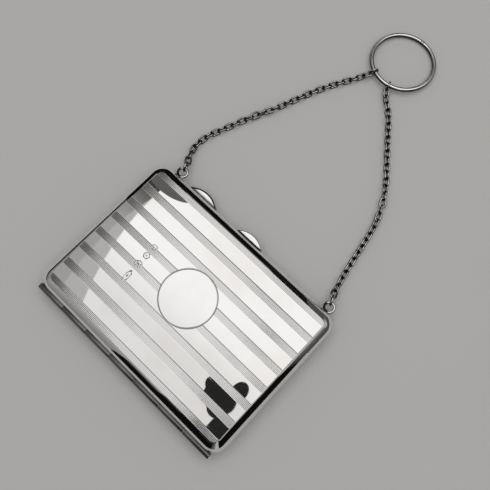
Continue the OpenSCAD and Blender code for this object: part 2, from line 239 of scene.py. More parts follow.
def engine_turning_group():
    """Bands of fine lines along X, cut off by the panel's edge and by a plain round disc."""
    group, given, out = new_group(
        "engine_turning",
        (("Vector", "NodeSocketVector", None), ("Pitch", "NodeSocketFloat", 7.6),
         ("Width", "NodeSocketFloat", 2.7), ("Disc", "NodeSocketFloat", 10.5),
         ("Disc X", "NodeSocketFloat", 0.0), ("Disc Y", "NodeSocketFloat", 0.0),
         ("Half Length", "NodeSocketFloat", 40.6), ("Half Width", "NodeSocketFloat", 27.6)),
        (("Band", "NodeSocketFloat"), ("Line", "NodeSocketFloat"), ("Shine", "NodeSocketFloat"),
         ("Groove", "NodeSocketFloat"), ("Disc Line", "NodeSocketFloat"),
         ("Height", "NodeSocketFloat")))
    x, y = millimetres(group, given["Vector"])[:2]
    across = maths(group, "FRACT", maths(group, "DIVIDE", y, given["Pitch"]))
    away = maths(group, "MULTIPLY", maths(group, "SUBTRACT", across, 0.5), given["Pitch"])
    half = maths(group, "MULTIPLY", given["Width"], 0.5)
    edge = maths(group, "SUBTRACT", maths(group, "ABSOLUTE", away), half)
    panel = rounded_panel(group, x, y, given["Half Length"], given["Half Width"])
    radius = flat_length(group, maths(group, "SUBTRACT", x, given["Disc X"]),
                         maths(group, "SUBTRACT", y, given["Disc Y"]))
    from_disc = maths(group, "SUBTRACT", radius, given["Disc"])
    has_disc = maths(group, "GREATER_THAN", given["Disc"], 0.5)
    outside = maths(group, "MAXIMUM", ramp(group, from_disc, 0.0, 0.12),
                    maths(group, "SUBTRACT", 1.0, has_disc))
    shown = maths(group, "MULTIPLY", panel, outside)
    band = maths(group, "MULTIPLY", ramp(group, edge, 0.05, -0.05), shown)
    # each band has a cut line on its +Y edge and a painted highlight on its -Y edge
    upper = maths(group, "ABSOLUTE", maths(group, "SUBTRACT", away, half))
    lower = maths(group, "ABSOLUTE", maths(group, "ADD", away, half))
    line = maths(group, "MULTIPLY", ramp(group, upper, 0.17, 0.05), shown)
    painted_highlight = maths(group, "MULTIPLY", ramp(group, lower, 0.2, 0.06), shown)
    disc_line = maths(group, "MULTIPLY", has_disc,
                      ramp(group, maths(group, "ABSOLUTE", from_disc), 0.34, 0.12))
    # barleycorn: fine lines along X, whose width comes and goes in a wave
    lines = maths(group, "SINE", maths(group, "MULTIPLY", away, 2 * math.pi / LINE_SPACING))
    wave = maths(group, "SINE", maths(group, "MULTIPLY", x, 2 * math.pi / WAVE_SPACING))
    groove = ramp(group, maths(group, "MULTIPLY_ADD", wave, 0.2, lines), 0.35, -0.95)
    groove = maths(group, "MULTIPLY", band, groove)
    # the outermost bands are cut shallower
    depth = ramp(group, maths(group, "ABSOLUTE", y), 24.6, 25.2, 0.4, 0.28)
    height = maths(group, "MULTIPLY", band, maths(group, "MULTIPLY", lines, depth))
    height = maths(group, "SUBTRACT", height, maths(group, "MULTIPLY", line, 0.8))
    height = maths(group, "SUBTRACT", height, maths(group, "MULTIPLY", disc_line, 1.2))
    for name, value in (("Band", band), ("Line", line), ("Shine", painted_highlight), ("Groove", groove),
                        ("Disc Line", disc_line), ("Height", height)):
        group.links.new(value, out[name])
    return group


def handling_group():
    """Fine scratches, a faint unevenness of hand-worked sheet, and a warm film of tarnish."""
    group, given, out = new_group(
        "handling",
        (("Vector", "NodeSocketVector", None), ("Scratches", "NodeSocketFloat", 1.0),
         ("Film", "NodeSocketFloat", 0.5)),
        (("Film", "NodeSocketFloat"), ("Roughness", "NodeSocketFloat"),
         ("Height", "NodeSocketFloat")))
    long_a = noise(group, stretched(group, given["Vector"], (60, 2600, 600), 0.35), 1.0, 2.0)
    long_b = noise(group, stretched(group, given["Vector"], (2900, 70, 600), 0.6), 1.0, 2.0)
    scratch = maths(group, "ADD", ramp(group, long_a, 0.68, 0.78), ramp(group, long_b, 0.69, 0.79))
    patch = noise(group, given["Vector"], 45.0, 4.0, 0.6)
    film = maths(group, "MULTIPLY", ramp(group, patch, 0.42, 0.72), given["Film"])
    smears = ramp(group, noise(group, given["Vector"], 320.0, 4.0), 0.3, 0.8)
    rough = maths(group, "MULTIPLY_ADD", smears, 0.05, maths(group, "MULTIPLY", scratch, 0.05))
    height = maths(group, "MULTIPLY", maths(group, "MULTIPLY", scratch, -0.12), given["Scratches"])
    group.links.new(film, out["Film"])
    group.links.new(rough, out["Roughness"])
    group.links.new(height, out["Height"])
    return group


GROUPS = {}


def group_node(tree, name, vector, **values):
    """Places a shared effect in a material with its own values."""
    if name not in GROUPS:
        GROUPS[name] = {"engine_turning": engine_turning_group, "handling": handling_group,
                        "weave": weave_group, "hide": hide_group}[name]()
    node = tree.nodes.new("ShaderNodeGroup")
    node.node_tree = GROUPS[name]
    socket_value(tree, node.inputs["Vector"], vector)
    for key, value in values.items():
        node.inputs[key.replace("_", " ").title()].default_value = value
    return node.outputs


def new_material(name):
    """A material with an empty tree, its Principled shader and its object coordinates."""
    material = bpy.data.materials.new(name)
    material.use_nodes = True
    tree = material.node_tree
    shader = next(n for n in tree.nodes if n.type == "BSDF_PRINCIPLED")
    place = tree.nodes.new("ShaderNodeTexCoord").outputs["Object"]
    return material, tree, shader, place


def surfaced(tree, shader, colour, roughness, height, depth, metallic=1.0, strength=1.0):
    """Sets the shader's colour and roughness, and lets a height raise its surface."""
    tree.links.new(colour, shader.inputs["Base Color"])
    socket_value(tree, shader.inputs["Roughness"], roughness)
    shader.inputs["Metallic"].default_value = metallic
    bump = tree.nodes.new("ShaderNodeBump")
    bump.inputs["Distance"].default_value = depth
    bump.inputs["Strength"].default_value = strength
    tree.links.new(height, bump.inputs["Height"])
    tree.links.new(bump.outputs["Normal"], shader.inputs["Normal"])


def silver_material(name, colours, film=0.35, roughness=0.06, scratches=1.0, shade=1.0):
    """Polished, handled silver; a lower shade darkens its colour."""
    material, tree, shader, place = new_material(name)
    worn = group_node(tree, "handling", place, film=film, scratches=scratches)
    colour = mixed(tree, worn["Film"], tuple(shade * c for c in colours.silver),
                   tuple(shade * c for c in colours.tarnish))
    surfaced(tree, shader, colour, maths(tree, "ADD", worn["Roughness"], roughness),
             worn["Height"], 0.02 * MM)
    return material


def engraved_material(name, colours, sizes, disc):
    """Polished silver with engine-turned bands and, on the front, the line round the disc."""
    material, tree, shader, place = new_material(name)
    worn = group_node(tree, "handling", place, film=0.28)
    turned = group_node(
        tree, "engine_turning", place, pitch=sizes.band_pitch / MM, width=sizes.band_width / MM,
        disc=disc / MM, disc_x=DISC_CENTRE[0], disc_y=DISC_CENTRE[1],
        half_length=(CASE_LENGTH / 2 - sizes.border_width) / MM,
        half_width=panel_half(sizes) / MM)
    colour = mixed(tree, worn["Film"], colours.silver, colours.tarnish)
    grey = tuple(0.88 * c for c in colours.silver)
    colour = mixed(tree, turned["Band"], colour, grey)
    # painted highlight on the -Y edge of each band
    colour = mixed(tree, turned["Shine"], colour, (1.0, 0.995, 0.98))
    # oxide in the grooves and lines; painted dark reflection all over the bands at the left end
    painted_dark_left_end = ramp(tree, millimetres(tree, place)["X"], -30.0, -39.5, 0.0, 0.60)
    painted_dark = maths(tree, "MULTIPLY", turned["Band"], painted_dark_left_end)
    dark = maths(tree, "MAXIMUM", maths(tree, "MULTIPLY_ADD", turned["Groove"], 0.22, painted_dark),
                 maths(tree, "MULTIPLY", turned["Line"], 0.6))
    dark = maths(tree, "MAXIMUM", dark, maths(tree, "MULTIPLY", turned["Disc Line"], 0.62))
    colour = mixed(tree, dark, colour, colours.blackened)
    rough = maths(tree, "MULTIPLY_ADD", worn["Roughness"], 0.4, 0.012)
    rough = maths(tree, "MULTIPLY_ADD", turned["Band"], 0.04, rough)
    rough = maths(tree, "MULTIPLY_ADD", dark, 0.2, rough)
    height = maths(tree, "MULTIPLY_ADD", worn["Height"], 0.12, turned["Height"])
    surfaced(tree, shader, colour, rough, height, 0.042 * MM)
    return material


# Where each of the two dark lines beside a soldered seam fades in and out, in mm from the seam,
# and how far a line runs back towards the case
SEAM_FADE_IN = (0.15, 0.35)
SEAM_FADE_OUT = (0.75, 0.55)
SEAM_REACH = 3.0


def oxidised_material(name, colours, dark, low, high, polish=0.16, film=0.5, seam=None):
    """Dark silver that turns bright as the attribute rub goes from low to high.

    The bright silver has polish as its roughness and film as its tarnish. A seam is the place
    of a soldered joint.
    """
    material, tree, shader, place = new_material(name)
    attribute = tree.nodes.new("ShaderNodeAttribute")
    attribute.attribute_name = "rub"
    worn = group_node(tree, "handling", place, film=film)
    patch = noise(tree, place, 900.0, 3.0)
    uneven = maths(tree, "MULTIPLY_ADD", patch, 0.16, -0.08)
    # bright parts are wear with painted highlight; dark parts are oxide, and painted shade on the
    # ring's and loops' sides
    rub = ramp(tree, maths(tree, "ADD", attribute.outputs["Fac"], uneven), low, high)
    if seam:
        x, y = millimetres(tree, place)[:2]
        beside = maths(tree, "ABSOLUTE", maths(tree, "SUBTRACT", x, seam.x / MM))
        line = maths(tree, "MULTIPLY", ramp(tree, beside, *SEAM_FADE_OUT),
                     ramp(tree, beside, *SEAM_FADE_IN))
        line = maths(tree, "MULTIPLY", line,
                     maths(tree, "GREATER_THAN", y, seam.y / MM - SEAM_REACH))
        rub = maths(tree, "MULTIPLY", rub, maths(tree, "MULTIPLY_ADD", line, -0.85, 1.0))
    bright = mixed(tree, worn["Film"], colours.silver, colours.tarnish)
    dull = 0.32
    surfaced(tree, shader, mixed(tree, rub, dark, bright),
             maths(tree, "MULTIPLY_ADD", rub, polish - dull, dull), patch, 0.02 * MM)
    return material


def weave_group():
    """Fine ribbed silk with a watered figure."""
    group, given, out = new_group(
        "weave", (("Vector", "NodeSocketVector", None), ("Rib", "NodeSocketFloat", 0.45)),
        (("Figure", "NodeSocketFloat"), ("Height", "NodeSocketFloat")))
    x, y = millimetres(group, given["Vector"])[:2]
    wander = noise(group, stretched(group, given["Vector"], (60, 160, 60)), 1.0, 3.0)
    shifted = maths(group, "MULTIPLY_ADD", wander, 1.6, y)
    ribs = maths(group, "SINE", maths(
        group, "DIVIDE", maths(group, "MULTIPLY", shifted, 2 * math.pi), given["Rib"]))
    threads = maths(group, "SINE", maths(group, "MULTIPLY", x, 2 * math.pi / 0.22))
    water = noise(group, stretched(group, given["Vector"], (70, 620, 100)), 1.0, 3.0, 0.5)
    folded = maths(group, "PINGPONG", maths(group, "MULTIPLY", water, 6.0), 1.0)
    figure = ramp(group, folded, 0.2, 0.8)
    group.links.new(figure, out["Figure"])
    group.links.new(maths(group, "MULTIPLY_ADD", threads, 0.3, ribs), out["Height"])
    return group


def hide_group():
    """Thin leather: small pebbles and creases."""
    group, given, out = new_group(
        "hide", (("Vector", "NodeSocketVector", None), ("Grain", "NodeSocketFloat", 1.0)),
        (("Shade", "NodeSocketFloat"), ("Height", "NodeSocketFloat")))
    cells = group.nodes.new("ShaderNodeTexVoronoi")
    group.links.new(given["Vector"], cells.inputs["Vector"])
    cells.inputs["Scale"].default_value = 1500.0
    pebbles = ramp(group, cells.outputs["Distance"], 0.1, 0.7, 1.0, 0.0)
    folds = noise(group, stretched(group, given["Vector"], (260, 420, 260)), 1.0, 5.0, 0.6)
    height = maths(group, "MULTIPLY_ADD", folds, 0.8,
                   maths(group, "MULTIPLY", pebbles, given["Grain"]))
    group.links.new(ramp(group, folds, 0.3, 0.75), out["Shade"])
    group.links.new(height, out["Height"])
    return group


def silk_material(name, colours):
    """Watered silk of the linings."""
    material, tree, shader, place = new_material(name)
    woven = group_node(tree, "weave", place)
    light = tuple(1.45 * c for c in colours.silk)
    shader.inputs["Sheen Weight"].default_value = 0.15
    shader.inputs["Sheen Roughness"].default_value = 0.4
    surfaced(tree, shader, mixed(tree, woven["Figure"], colours.silk, light),
             maths(tree, "MULTIPLY_ADD", woven["Figure"], -0.18, 0.58),
             woven["Height"], 0.03 * MM, metallic=0.0, strength=0.8)
    return material


def leather_material(name, colours):
    """Thin leather of the card pocket, darker in its folds."""
    material, tree, shader, place = new_material(name)
    hide = group_node(tree, "hide", place)
    dark = tuple(0.72 * c for c in colours.leather)
    surfaced(tree, shader, mixed(tree, hide["Shade"], dark, colours.leather),
             maths(tree, "MULTIPLY_ADD", hide["Shade"], 0.15, 0.38),
             hide["Height"], 0.04 * MM, metallic=0.0, strength=0.7)
    return material


def thread_material(name, colours):
    """Twisted thread of the pocket's stitches."""
    material, tree, shader, place = new_material(name)
    twist = noise(tree, stretched(tree, place, (3000, 3000, 3000)), 1.0, 2.0)
    light = tuple(min(1.0, 2.6 * c + 0.05) for c in colours.leather)
    surfaced(tree, shader, mixed(tree, twist, colours.leather, light), 0.7, twist, 0.02 * MM,
             metallic=0.0)
    return material


def floor_material(name, colours):
    """Pale paper floor with a very faint unevenness."""
    material, tree, shader, place = new_material(name)
    cloud = noise(tree, place, 3.0, 3.0)
    shade = tuple(0.96 * c for c in colours.floor)
    surfaced(tree, shader, mixed(tree, cloud, shade, colours.floor),
             maths(tree, "MULTIPLY_ADD", cloud, 0.1, 0.7), noise(tree, place, 4000.0, 2.0),
             0.01 * MM, metallic=0.0, strength=0.4)
    return material


def card_material(name, axis, start, end, low, high):
    """Glow of a studio card, whose grey runs from low to high along one axis."""
    material = bpy.data.materials.new(name)
    material.use_nodes = True
    tree = material.node_tree
    tree.nodes.clear()
    place = tree.nodes.new("ShaderNodeTexCoord").outputs["Object"]
    parts = tree.nodes.new("ShaderNodeSeparateXYZ")
    tree.links.new(place, parts.inputs[0])
    glow = tree.nodes.new("ShaderNodeEmission")
    tree.links.new(ramp(tree, parts.outputs[axis], start, end, low, high), glow.inputs["Strength"])
    output = tree.nodes.new("ShaderNodeOutputMaterial")
    tree.links.new(glow.outputs[0], output.inputs["Surface"])
    return material


# Modelling helpers

def deselect():
    """Leaves edit mode, with nothing selected."""
    if bpy.context.mode != "OBJECT":
        bpy.ops.object.mode_set(mode="OBJECT")
    bpy.ops.object.select_all(action="DESELECT")


def added(name, add, scale=(1, 1, 1), **values):
    """Adds a primitive, names it and fixes its place, turn and size in its mesh."""
    deselect()
    add(**values)
    piece = bpy.context.active_object
    piece.scale = scale
    piece.name = name
    piece.data.name = name
    bpy.ops.object.transform_apply(location=True, rotation=True, scale=True)
    return piece


def only(piece):
    """Makes one piece the selected and active one."""
    deselect()
    piece.select_set(True)
    bpy.context.view_layer.objects.active = piece


def edit(piece, mode="FACE"):
    """Opens a piece in edit mode, with nothing selected."""
    only(piece)
    bpy.ops.object.mode_set(mode="EDIT")
    bpy.ops.mesh.select_mode(type=mode)
    bpy.ops.mesh.select_all(action="DESELECT")


def pick(piece, kind, test):
    """Selects the faces or edges of a piece in edit mode that pass a test."""
    mesh = bmesh.from_edit_mesh(piece.data)
    for item in getattr(mesh, kind):
        item.select_set(test(item))
    mesh.select_flush_mode()
    bmesh.update_edit_mesh(piece.data)


def done_editing():
    """Leaves edit mode."""
    bpy.ops.object.mode_set(mode="OBJECT")


def modified(piece, kind, **values):
    """Adds a modifier, sets it and applies it."""
    only(piece)
    modifier = piece.modifiers.new(kind.lower(), kind)
    for key, value in values.items():
        setattr(modifier, key, value)
    bpy.ops.object.modifier_apply(modifier=modifier.name)


def smoothed(piece, angle):
    """Smooth shading, with edges sharper than an angle in degrees kept."""
    only(piece)
    bpy.ops.object.shade_smooth_by_angle(angle=math.radians(angle))


def joined(name, pieces):
    """Joins pieces into one with its own name."""
    only(pieces[0])
    for piece in pieces[1:]:
        piece.select_set(True)
    if len(pieces) > 1:
        bpy.ops.object.join()
    pieces[0].name = name
    pieces[0].data.name = name
    return pieces[0]


def copied(piece, name, place):
    """A copy with its own mesh, moved by a matrix that is fixed in the mesh."""
    other = piece.copy()
    other.data = piece.data.copy()
    other.name = name
    bpy.context.collection.objects.link(other)
    other.data.transform(place)
    return other


def dressed(piece, material, body, slot, *nodes):
    """Gives a piece its material, its body and the nodes it stands for; its slot is not used."""
    materials = material if isinstance(material, (list, tuple)) else [material]
    piece.data.materials.clear()
    for entry in materials:
        piece.data.materials.append(entry)
    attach(piece, body)
    if nodes:
        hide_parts(*nodes)
    return piece


MATERIALS = {}


def material_of(name, make, *values, **named):
    """A material that is made once and shared."""
    if name not in MATERIALS:
        MATERIALS[name] = make(name, *values, **named)
    return MATERIALS[name]


def scene_sizes():
    """The sizes as the user has set them."""
    return bpy.context.scene.case_sizes


def scene_colours():
    """The colours as the user has set them."""
    return bpy.context.scene.case_colours


# Covers

# Steps of the rolled border, and strips into which the panel is cut to be bowed
ROLL_STEPS = 18
PANEL_STRIPS = 44


def panel_half(sizes):
    """Half the width of the panel inside the rolled border."""
    return CASE_WIDTH / 2 - sizes.border_width


def roll_steps(sizes):
    """Inset and height fraction of each step of the rolled border, from wall to panel."""
    low = math.sin(sizes.crease_angle)
    steps = []
    for k in range(ROLL_STEPS + 1):
        turn = math.pi / 2 - (math.pi / 2 - sizes.crease_angle) * k / ROLL_STEPS
        steps.append((sizes.border_width * (1 - (math.sin(turn) - low) / (1 - low)),
                      math.cos(turn) / math.cos(sizes.crease_angle)))
    return steps


def rolled_block(name, depth, sizes):
    """Block open below, with round corners, a top rolled by insets and a panel cut in strips."""
    wall = sizes.wall_height
    piece = added(name, bpy.ops.mesh.primitive_cube_add, size=1, location=(0, 0, wall / 2),
                  scale=(CASE_LENGTH, CASE_WIDTH, wall))
    edit(piece, "EDGE")
    pick(piece, "edges", lambda e: abs(e.verts[0].co.z - e.verts[1].co.z) > wall / 2)
    bpy.ops.mesh.bevel(offset=sizes.corner_radius, segments=20, profile=0.5, affect="EDGES")
    bpy.ops.mesh.select_mode(type="FACE")
    pick(piece, "faces", lambda f: f.normal.z > 0.9)
    steps = roll_steps(sizes)
    height = depth - wall
    for (inset, level), (next_inset, next_level) in zip(steps, steps[1:]):
        bpy.ops.mesh.inset(thickness=next_inset - inset, depth=(next_level - level) * height)
    for k in range(1, PANEL_STRIPS):
        pick(piece, "faces",
             lambda f: f.normal.z > 0.999 and f.calc_center_median().z > depth * 0.99)
        across = panel_half(sizes) * (2 * k / PANEL_STRIPS - 1)
        bpy.ops.mesh.bisect(plane_co=(0, across, 0), plane_no=(0, 1, 0))
    pick(piece, "faces", lambda f: f.normal.z < -0.9)
    bpy.ops.mesh.delete(type="FACE")
    done_editing()
    return piece


def bow_down(piece, depth, bow, sizes):
    """Lowers each point over the wall as much as the panel drops where its roll meets it."""
    wall = sizes.wall_height
    height = depth - wall
    levels = [(wall + level * height, inset) for inset, level in roll_steps(sizes)]
    arc_y = CASE_WIDTH / 2 - sizes.corner_radius
    for point in piece.data.vertices:
        if point.co.z <= wall:
            continue
        inset = min(levels, key=lambda entry: abs(entry[0] - point.co.z))[1]
        across = abs(point.co.y)
        if across > arc_y:
            shrink = (sizes.corner_radius - sizes.border_width) / (sizes.corner_radius - inset)
            across = arc_y + (across - arc_y) * shrink
        crown = depth - bow * (across / panel_half(sizes)) ** 2
        point.co.z = wall + (point.co.z - wall) * (crown - wall) / height
    piece.data.update()


def cover_shell(name, depth, bow, sizes):
    """Open shell of sheet with its foot at z = 0."""
    piece = rolled_block(name, depth, sizes)
    bow_down(piece, depth, bow, sizes)
    modified(piece, "SOLIDIFY", thickness=sizes.sheet, offset=-1, use_even_offset=True,
             material_offset=1)
    return piece


# Room round the barrel, and past both its ends together
GROOVE_CLEARANCE = 0.1 * MM
GROOVE_SPARE = 0.3 * MM


def cut_away(piece, tool):
    """Cuts one piece's shape out of another and takes it away."""
    modified(piece, "BOOLEAN", operation="DIFFERENCE", solver="EXACT", object=tool)
    bpy.data.objects.remove(tool)


def grooved(piece):
    """Cuts the knuckles' groove into a cover with a long rod."""
    cut_away(piece, added(
        "groove_rod", bpy.ops.mesh.primitive_cylinder_add, vertices=64,
        radius=HINGE_RADIUS + GROOVE_CLEARANCE, depth=BARREL_HIGH.x - BARREL_LOW.x + GROOVE_SPARE,
        location=(0, HINGE_Y, HINGE_Z), rotation=(0, math.pi / 2, 0)))


class CASE_OT_covers(bpy.types.Operator):
    """Builds the two engraved silver covers"""
    bl_idname = "card_case.covers"
    bl_label = "Covers"

    def execute(self, context):
        sizes, colours = scene_sizes(), scene_colours()
        gilt = material_of("gilt_wash", gilt_material, colours)
        front = cover_shell("front_cover_shell", FRONT_HIGH.z - FRONT_LOW.z, sizes.bow, sizes)
        front.data.transform(Matrix.Translation((0, 0, FRONT_LOW.z)))
        grooved(front)
        smoothed(front, 8)
        dressed(front, [engraved_material("engraved_front", colours, sizes, sizes.cartouche_radius),
                        gilt], "case_front", "silver", "front_cover")
        back = cover_shell("back_cover_shell", BACK_HIGH.z - BACK_LOW.z, 0.0, sizes)
        back.data.transform(
            Matrix.Translation((0, 0, BACK_HIGH.z)) @ Matrix.Rotation(math.pi, 4, "X"))
        grooved(back)
        smoothed(back, 17)
        dressed(back, [engraved_material("engraved_back", colours, sizes, 0.0), gilt],
                "case_back", "silver", "back_cover")
        return {"FINISHED"}


def gilt_material(name, colours):
    """Thin gilt wash inside the covers."""
    material, tree, shader, place = new_material(name)
    worn = group_node(tree, "handling", place, film=0.5)
    pale = tuple(0.5 * (a + b) for a, b in zip(colours.gilding, colours.silver))
    surfaced(tree, shader, mixed(tree, worn["Film"], colours.gilding, pale),
             maths(tree, "ADD", worn["Roughness"], 0.16), worn["Height"], 0.02 * MM)
    return material


# Small plain stamps beside the disc

# Place in mm, number of corners, radius along X and Y in mm, and turn of each stamped frame
STAMPS = ((-20.9, 5.2, 24, 1.15, 0.95, 0.0), (-20.8, 1.3, 6, 1.2, 1.15, 0.0),
          (-20.8, -2.7, 8, 1.35, 1.15, 0.39), (-20.6, -8.3, 20, 0.85, 2.1, 0.0))
STAMP_RISE = 0.003 * MM


def panel_height(y, sizes):
    """Height of the front panel over a point."""
    return FRONT_HIGH.z - sizes.bow * (y / panel_half(sizes)) ** 2


class CASE_OT_stamps(bpy.types.Operator):
    """Builds a column of plain stamped frames beside the disc"""
    bl_idname = "card_case.stamps"
    bl_label = "Plain stamps"

    def execute(self, context):
        sizes, colours = scene_sizes(), scene_colours()
        pieces = []
        for x, y, corners, wide, deep, turn in STAMPS:
            lean = -math.atan(2 * sizes.bow * y * MM / panel_half(sizes) ** 2)
            placed = {"location": (x * MM, y * MM, panel_height(y * MM, sizes) + STAMP_RISE),
                      "rotation": (lean, 0, turn)}
            pieces.append(added("stamp_frame", bpy.ops.mesh.primitive_torus_add,
                                major_segments=corners, minor_segments=8, major_radius=1.0 * MM,
                                minor_radius=0.19 * MM, scale=(wide, deep, 0.3), **placed))
            pieces.append(added("stamp_dot", bpy.ops.mesh.primitive_uv_sphere_add,
                                segments=16, ring_count=8, radius=0.36 * wide * MM,
                                scale=(1.0, 0.8 * deep / wide, 0.12), **placed))
        stamps = joined("plain_stamps", pieces)
        smoothed(stamps, 50)
        dressed(stamps, material_of("stamp_shade", stamp_material, colours), "case_front", "silver")
        return {"FINISHED"}


def stamp_material(name, colours):
    """Silver with old polish and oxide left round the stamped shapes."""
    material, tree, shader, place = new_material(name)
    patch = noise(tree, place, 1400.0, 3.0)
    dull = tuple(0.22 * c for c in colours.tarnish)
    surfaced(tree, shader, mixed(tree, ramp(tree, patch, 0.38, 0.56), dull, colours.silver),
             0.2, patch, 0.02 * MM)
    return material


# Hinge

KNUCKLE_COUNT = 7
KNUCKLE_GAP = 0.15 * MM
PIN_CLEARANCE = 0.04 * MM


def knuckle(name, low, high, bore):
    """One tube of the hinge barrel, with softened ends."""
    piece = added(name, bpy.ops.mesh.primitive_cylinder_add, vertices=48, radius=HINGE_RADIUS,
                  depth=high - low, end_fill_type="NOTHING",
                  location=((low + high) / 2, HINGE_Y, HINGE_Z), rotation=(0, math.pi / 2, 0))
    modified(piece, "SOLIDIFY", thickness=HINGE_RADIUS - bore, offset=-1, use_even_offset=True)
    modified(piece, "BEVEL", width=0.07 * MM, segments=3, limit_method="ANGLE",
             angle_limit=math.radians(40))
    return piece


class CASE_OT_hinge(bpy.types.Operator):
    """Builds the hinge's knuckles and its pin"""
    bl_idname = "card_case.hinge"
    bl_label = "Hinge"

    def execute(self, context):
        colours = scene_colours()
        # the knuckles' silver is darkened to about a fifth of its colour
        silver = material_of("hinge_silver", silver_material, colours, film=0.8, roughness=0.28,
                             shade=0.22)
        pin_radius = (PIN_HIGH.z - PIN_LOW.z) / 2
        low = BARREL_LOW.x - KNUCKLE_GAP / 2
        pitch = (BARREL_HIGH.x - BARREL_LOW.x + KNUCKLE_GAP) / KNUCKLE_COUNT
        knuckles = [knuckle("knuckle_%d" % k, low + k * pitch + KNUCKLE_GAP / 2,
                            low + (k + 1) * pitch - KNUCKLE_GAP / 2, pin_radius + PIN_CLEARANCE)
                    for k in range(KNUCKLE_COUNT)]
        # the outer knuckles and every second one between them are the back cover's
        for own, name, body in ((knuckles[::2], "back_knuckles", "case_back"),
                                (knuckles[1::2], "front_knuckles", "case_front")):
            piece = joined(name + "_turned", own)
            smoothed(piece, 20)
            dressed(piece, silver, body, "silver", name)
        # a ball whose halves are drawn apart to the pin's length, with low domes left at its ends
        pin = added("hinge_pin_domed", bpy.ops.mesh.primitive_uv_sphere_add, segments=32,
                    ring_count=24, radius=pin_radius, rotation=(0, math.pi / 2, 0),
                    location=(0, HINGE_Y, HINGE_Z))
        reach = (PIN_HIGH.x - PIN_LOW.x) / 2 - 0.45 * pin_radius
        edit(pin, "VERT")
        for side in (-1, 1):
            pick(pin, "verts", lambda v: v.co.x > -1e-7 if side > 0 else v.co.x < -1e-7)
            bpy.ops.transform.translate(value=(side * reach, 0, 0))
        done_editing()
        smoothed(pin, 60)
        dressed(pin, material_of("pin_silver", silver_material, colours, film=0.1, roughness=0.05),
                "case_back", "silver", "hinge_pin")
        return {"FINISHED"}


class CASE_OT_rim(bpy.types.Operator):
    """Gives the closing rim its finish"""
    bl_idname = "card_case.rim"
    bl_label = "Closing rim"

    def execute(self, context):
        gilt = material_of("gilt_wash", gilt_material, scene_colours())
        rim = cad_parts["closing_rim"]
        for slot in rim.material_slots:
            slot.material = gilt
        return {"FINISHED"}


# Thumb lugs

# Node, body, how far out in mm from the wall a lug carries painted shade, and the inset and rise
# in mm of each slope on its face
THUMB_LUGS = (("back_thumb_lug", "case_back", 1.7, ((0.10, 0.10), (0.62, 0.28))),
              ("front_thumb_lug", "case_front", 0.9, ((0.10, 0.12), (0.25, 0.10))))


class CASE_OT_thumb_lugs(bpy.types.Operator):
    """Builds the two half-moon thumb lugs"""
    bl_idname = "card_case.thumb_lugs"
    bl_label = "Thumb lugs"

    def execute(self, context):
        for node, body, painted_shade_reach, slopes in THUMB_LUGS:
            low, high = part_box(node)
            reach = high.y - low.y
            width = high.x - low.x
            radius = (width * width / 4 + reach * reach) / (2 * reach)
            thick = high.z - low.z
            risen = sum(rise for _, rise in slopes) * MM
            piece = added(
                node + "_shaped", bpy.ops.mesh.primitive_cylinder_add, vertices=160, radius=radius,
                depth=thick - risen,
                location=((low.x + high.x) / 2, high.y - radius, (low.z + high.z - risen) / 2))
            edit(piece)
            bpy.ops.mesh.select_all(action="SELECT")
            bpy.ops.mesh.bisect(plane_co=(0, low.y, 0), plane_no=(0, 1, 0), clear_inner=True,
                                use_fill=True)
            pick(piece, "faces", lambda f: f.normal.z > 0.9)
            for inset, rise in slopes:
                bpy.ops.mesh.inset(thickness=inset * MM, depth=rise * MM)
            done_editing()
            modified(piece, "BEVEL", width=0.05 * MM, segments=3, limit_method="ANGLE",
                     angle_limit=math.radians(15))
            smoothed(piece, 30)
            silver = lug_material(node + "_silver", scene_colours(), painted_shade_reach)
            dressed(piece, silver, body, "silver", node)
        return {"FINISHED"}


def lug_material(name, colours, painted_shade_reach):
    """Silver with painted shade in the corner where a lug meets the wall, plain silver from there
    out.
    """
    material, tree, shader, place = new_material(name)
    worn = group_node(tree, "handling", place, film=0.2)
    y = millimetres(tree, place)["Y"]
    root = CASE_WIDTH / 2 / MM
    patch = maths(tree, "MULTIPLY_ADD", noise(tree, place, 700.0), 0.5, -0.25)
    # painted shade: darkest at the lug's root by the wall, fading out within the given reach
    left = ramp(tree, maths(tree, "ADD", y, patch), root + painted_shade_reach, root + 0.25)
    colour = mixed(tree, worn["Film"], colours.silver, colours.tarnish)
    surfaced(tree, shader, mixed(tree, left, colour, tuple(0.12 * c for c in colours.tarnish)),
             maths(tree, "MULTIPLY_ADD", left, 0.2, 0.08), worn["Height"], 0.02 * MM)
    return material


# Loops, chain and ring

# Outer sizes of a link and of a jump ring, and the thickness of each wire
LINK_LENGTH = 4.4 * MM
LINK_WIDTH = 2.8 * MM
LINK_WIRE = 0.74 * MM
JUMP_DIAMETER = 4.3 * MM
JUMP_WIRE = 0.72 * MM
LOOP_WIRE = 0.96 * MM
RING_WIRE = 1.7 * MM


def parts_of(node):
    """The triangles' corners of each separate solid in a CAD node."""
    mesh = bmesh.new()
    mesh.from_mesh(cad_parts[node].data)
    bmesh.ops.remove_doubles(mesh, verts=mesh.verts, dist=1e-7)
    left = set(mesh.faces)
    solids = []
    while left:
        stack = [left.pop()]
        found = []
        while stack:
            face = stack.pop()
            found.append(face)
            for edge in face.edges:
                for other in edge.link_faces:
                    if other in left:
                        left.remove(other)
                        stack.append(other)
        solids.append(np.array([[tuple(v.co) for v in f.verts[:3]] for f in found]))
    mesh.free()
    return solids


